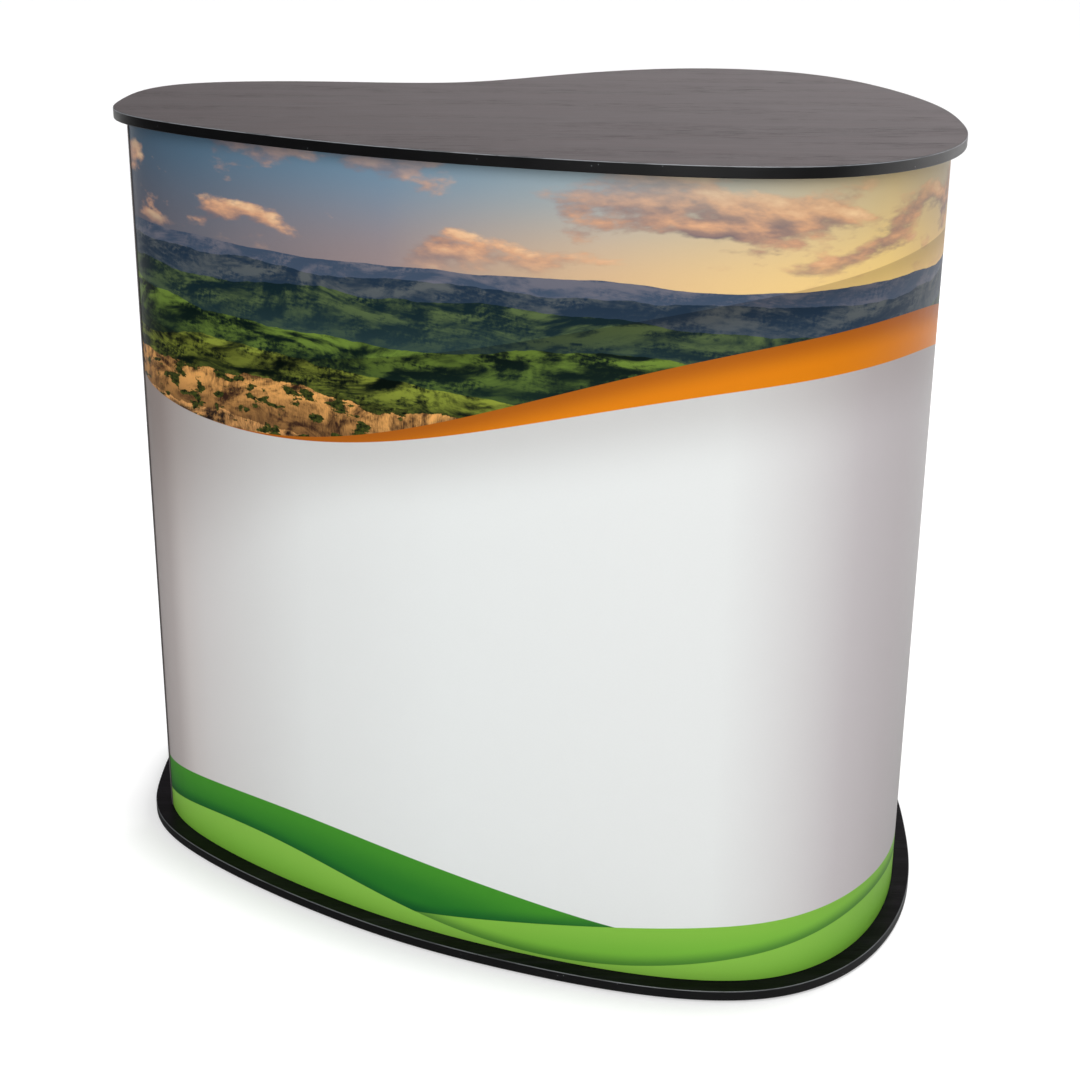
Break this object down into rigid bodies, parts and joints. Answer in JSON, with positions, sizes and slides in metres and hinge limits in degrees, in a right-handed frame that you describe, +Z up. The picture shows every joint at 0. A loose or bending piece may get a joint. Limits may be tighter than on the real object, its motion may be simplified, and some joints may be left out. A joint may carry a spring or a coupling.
{
  "type": "exhibition counter",
  "caption": "Free-standing exhibition counter: kidney-shaped black boards on tube posts, with a printed panel wrapped round the front and an open back with a shelf.",
  "frame": {"origin": "on the floor, at the middle of the base board's box in plan", "axes": "+Z up; the panel's front faces -Y, with the waist and the open back on the +Y side; +X to the right as seen from the front"},
  "size_m": [1.01, 1, 0.9269],
  "materials": {
    "laminate": "black woodgrain laminate, satin",
    "edging": "black edging strip, satin",
    "print": null,
    "channel": "dark grey extruded profile",
    "aluminium": "satin anodised",
    "socket": "black powder coat",
    "hook_tape": "black hook tape",
    "loop_tape": "black loop tape",
    "screw": "zinc plated",
    "plastic": "black moulded plastic",
    "rubber": "matt black"
  },
  "bodies": {
    "base": {"base_board": "laminate", "base_edge_band": "edging", "base_rail": "aluminium", "base_hook_tape": "hook_tape", "base_loop_tape": "loop_tape", "top_hook_tape": "hook_tape", "wrap_panel": "print", "left_panel_channel": "channel", "right_panel_channel": "channel", "base_pad_1": "rubber", "base_rail_screw_1": "screw", "base_pad_2": "rubber", "base_rail_screw_2": "screw", "base_pad_3": "rubber", "base_rail_screw_3": "screw", "base_pad_4": "rubber", "base_rail_screw_4": "screw", "base_pad_5": "rubber", "base_rail_screw_5": "screw", "left_base_socket": "socket", "left_post": "aluminium", "left_shelf_collar": "aluminium", "left_shelf_collar_screw": "screw", "left_post_lower_plug": "plastic", "left_post_upper_plug": "plastic", "front_base_socket": "socket", "front_post": "aluminium", "front_shelf_collar": "aluminium", "front_shelf_collar_screw": "screw", "front_post_lower_plug": "plastic", "front_post_upper_plug": "plastic", "right_base_socket": "socket", "right_post": "aluminium", "right_shelf_collar": "aluminium", "right_shelf_collar_screw": "screw", "right_post_lower_plug": "plastic", "right_post_upper_plug": "plastic"},
    "top": {"top_board": "laminate", "top_edge_band": "edging", "top_rail": "aluminium", "top_loop_tape": "loop_tape", "top_rail_screw_1": "screw", "top_rail_screw_2": "screw", "top_rail_screw_3": "screw", "top_rail_screw_4": "screw", "top_rail_screw_5": "screw", "left_top_socket": "socket", "front_top_socket": "socket", "right_top_socket": "socket"},
    "shelf": {"shelf_board": "laminate"},
    "left_base_knob": {"left_base_knob": "plastic"},
    "left_top_knob": {"left_top_knob": "plastic"},
    "front_base_knob": {"front_base_knob": "plastic"},
    "front_top_knob": {"front_top_knob": "plastic"},
    "right_base_knob": {"right_base_knob": "plastic"},
    "right_top_knob": {"right_top_knob": "plastic"}
  },
  "joints": [
    {"name": "top_lift", "type": "slide", "parent": "base", "child": "top", "axis": [0, 0, 1], "range_m": [0, 0.06]},
    {"name": "shelf_lift", "type": "slide", "parent": "base", "child": "shelf", "axis": [0, 0, 1], "range_m": [0, 0.3]},
    {"name": "left_base_knob_turn", "type": "hinge", "parent": "base", "child": "left_base_knob", "pos_m": [-0.4, 0.0891, 0.0363], "axis": [0.9964, -0.0846, 0], "range_deg": [0, 540]},
    {"name": "left_top_knob_turn", "type": "hinge", "parent": "top", "child": "left_top_knob", "pos_m": [-0.4, 0.0891, 0.8929], "axis": [0.9964, -0.0846, 0], "range_deg": [0, 540]},
    {"name": "front_base_knob_turn", "type": "hinge", "parent": "base", "child": "front_base_knob", "pos_m": [0.22, -0.3663, 0.0363], "axis": [-0.5356, 0.8445, 0], "range_deg": [0, 540]},
    {"name": "front_top_knob_turn", "type": "hinge", "parent": "top", "child": "front_top_knob", "pos_m": [0.22, -0.3663, 0.8929], "axis": [-0.5356, 0.8445, 0], "range_deg": [0, 540]},
    {"name": "right_base_knob_turn", "type": "hinge", "parent": "base", "child": "right_base_knob", "pos_m": [0.32, 0.3267, 0.0363], "axis": [-0.8106, -0.5856, 0], "range_deg": [0, 540]},
    {"name": "right_top_knob_turn", "type": "hinge", "parent": "top", "child": "right_top_knob", "pos_m": [0.32, 0.3267, 0.8929], "axis": [-0.8106, -0.5856, 0], "range_deg": [0, 540]}
  ]
}
